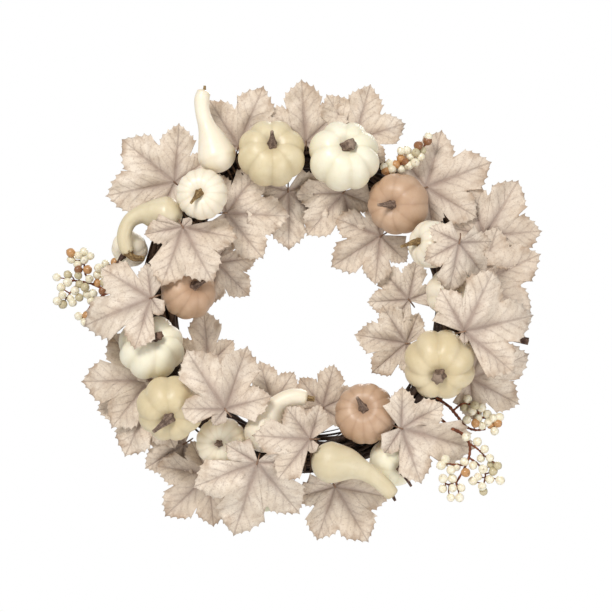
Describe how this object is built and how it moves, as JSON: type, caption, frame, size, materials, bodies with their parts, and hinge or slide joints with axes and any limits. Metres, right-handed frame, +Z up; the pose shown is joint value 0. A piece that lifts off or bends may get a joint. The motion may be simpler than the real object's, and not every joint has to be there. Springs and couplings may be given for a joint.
{
  "type": "harvest door wreath",
  "caption": "Round door wreath of blush fabric maple leaves, cream, ochre and pink foam pumpkins and gourds, and berry sprays on a vine ring, with a wire hanging loop.",
  "frame": {"origin": "top of the hanging loop, on the door plane, where a hook carries the wreath", "axes": "+Z up, +X to the right as seen from the front, +Y into the door; the wreath faces -Y"},
  "size_m": [0.5742, 0.1419, 0.5426],
  "materials": {
    "foam_cream": "satin painted foam",
    "foam_ivory": "satin painted foam",
    "foam_ochre": "satin painted foam",
    "foam_pink": "satin painted foam",
    "foam_gourd": "satin painted foam",
    "leaf_fabric": "printed polyester leaf, matt",
    "berry": "satin painted foam berries on wrapped wire",
    "vine": "dark brown vine and twig",
    "wire": "galvanised wire"
  },
  "bodies": {
    "wreath": {"gourd_cream_bottom": "foam_cream", "gourd_cream_top_left": "foam_cream", "gourd_ochre_bottom": "foam_gourd", "gourd_ochre_left": "foam_gourd", "hanger_staple": "wire", "leaf_01": "leaf_fabric", "leaf_02": "leaf_fabric", "leaf_03": "leaf_fabric", "leaf_04": "leaf_fabric", "leaf_05": "leaf_fabric", "leaf_06": "leaf_fabric", "leaf_07": "leaf_fabric", "leaf_08": "leaf_fabric", "leaf_09": "leaf_fabric", "leaf_10": "leaf_fabric", "leaf_11": "leaf_fabric", "leaf_12": "leaf_fabric", "leaf_13": "leaf_fabric", "leaf_14": "leaf_fabric", "leaf_15": "leaf_fabric", "leaf_16": "leaf_fabric", "leaf_17": "leaf_fabric", "leaf_18": "leaf_fabric", "leaf_19": "leaf_fabric", "leaf_20": "leaf_fabric", "leaf_21": "leaf_fabric", "leaf_22": "leaf_fabric", "leaf_23": "leaf_fabric", "leaf_24": "leaf_fabric", "leaf_25": "leaf_fabric", "leaf_26": "leaf_fabric", "leaf_27": "leaf_fabric", "leaf_28": "leaf_fabric", "leaf_29": "leaf_fabric", "leaf_30": "leaf_fabric", "leaf_31": "leaf_fabric", "pumpkin_bottom_hidden": "foam_gourd", "pumpkin_cream_bottom_left": "foam_cream", "pumpkin_cream_bottom_right": "foam_cream", "pumpkin_cream_right": "foam_cream", "pumpkin_cream_right_upper": "foam_cream", "pumpkin_cream_top_left": "foam_cream", "pumpkin_ivory_left": "foam_ivory", "pumpkin_ivory_right": "foam_ivory", "pumpkin_ivory_top": "foam_ivory", "pumpkin_left_hidden": "foam_gourd", "pumpkin_ochre_left": "foam_ochre", "pumpkin_ochre_top": "foam_ochre", "pumpkin_pink_bottom": "foam_pink", "pumpkin_pink_left": "foam_pink", "pumpkin_pink_right": "foam_pink", "pumpkin_right_hidden": "foam_gourd", "vine_ring": "vine"},
    "hanger": {"hanger_loop": "wire"},
    "spray_left": {"spray_left": "berry"},
    "spray_right_lower": {"spray_right_lower": "berry"},
    "spray_right_upper": {"spray_right_upper": "berry"},
    "spray_top_right": {"spray_top_right": "berry"}
  },
  "joints": [
    {"name": "hanger_swing", "type": "hinge", "parent": "wreath", "child": "hanger", "pos_m": [0, -0.00698, -0.034], "axis": [1, 0, 0], "range_deg": [-80, 15]},
    {"name": "spray_left_turn", "type": "hinge", "parent": "wreath", "child": "spray_left", "pos_m": [-0.204, -0.01722, -0.2136], "axis": [0, 1, 0], "range_deg": [-8, 8]},
    {"name": "spray_right_lower_turn", "type": "hinge", "parent": "wreath", "child": "spray_right_lower", "pos_m": [0.168, -0.08379, -0.3736], "axis": [0, 1, 0], "range_deg": [-8, 8]},
    {"name": "spray_right_upper_turn", "type": "hinge", "parent": "wreath", "child": "spray_right_upper", "pos_m": [0.168, -0.0481, -0.3506], "axis": [0, 1, 0], "range_deg": [-8, 8]},
    {"name": "spray_top_right_turn", "type": "hinge", "parent": "wreath", "child": "spray_top_right", "pos_m": [0.104, -0.0521, -0.0716], "axis": [0, 1, 0], "range_deg": [-8, 8]}
  ]
}
